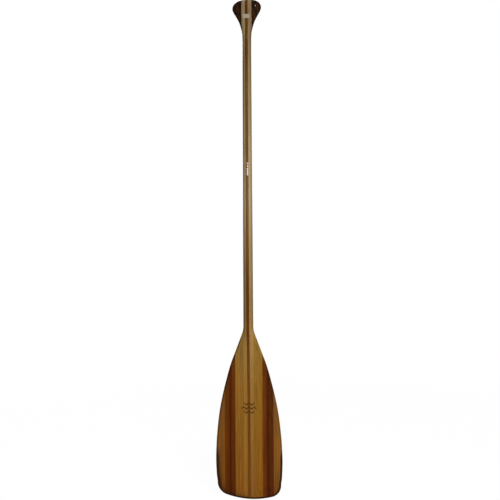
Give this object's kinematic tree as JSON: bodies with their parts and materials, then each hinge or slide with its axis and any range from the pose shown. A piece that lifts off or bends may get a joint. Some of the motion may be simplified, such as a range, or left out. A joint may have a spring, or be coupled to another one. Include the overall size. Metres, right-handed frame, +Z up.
{
  "type": "canoe paddle",
  "caption": "Straight-shafted laminated wooden canoe paddle with a flared palm grip, a wide striped blade and a dark resin edge round the blade's lower end.",
  "frame": {"origin": "on the paddle's centreline at the neck just under the flare of the grip, where a rack's fork or a hand holds it", "axes": "+Z up along the shaft towards the grip, +X to the right seen from the labelled front, +Y from the labelled front to the back"},
  "size_m": [0.2068, 0.032, 1.524],
  "materials": {
    "dark_wood": "varnished, satin gloss",
    "light_wood": "varnished, satin gloss",
    "golden_wood": "varnished, satin gloss",
    "red_wood": "varnished, satin gloss",
    "brown_wood": "varnished, satin gloss",
    "grip_wood": "oiled, smooth",
    "edge_resin": "cast resin, gloss",
    "grip_label_film": "thin pale film",
    "shaft_decal_film": "thin pale film"
  },
  "bodies": {
    "root": {"core_strip": "dark_wood", "shaft_stave_left": "light_wood", "shaft_stave_right": "light_wood", "grip_block_left": "grip_wood", "grip_block_right": "grip_wood", "light_strip_left": "golden_wood", "light_strip_right": "golden_wood", "inner_red_strip_left": "red_wood", "inner_red_strip_right": "red_wood", "outer_red_strip_left": "red_wood", "outer_red_strip_right": "red_wood", "edge_strip_left": "brown_wood", "edge_strip_right": "brown_wood", "resin_edge": "edge_resin", "grip_label": "grip_label_film", "shaft_decal": "shaft_decal_film"}
  },
  "joints": []
}
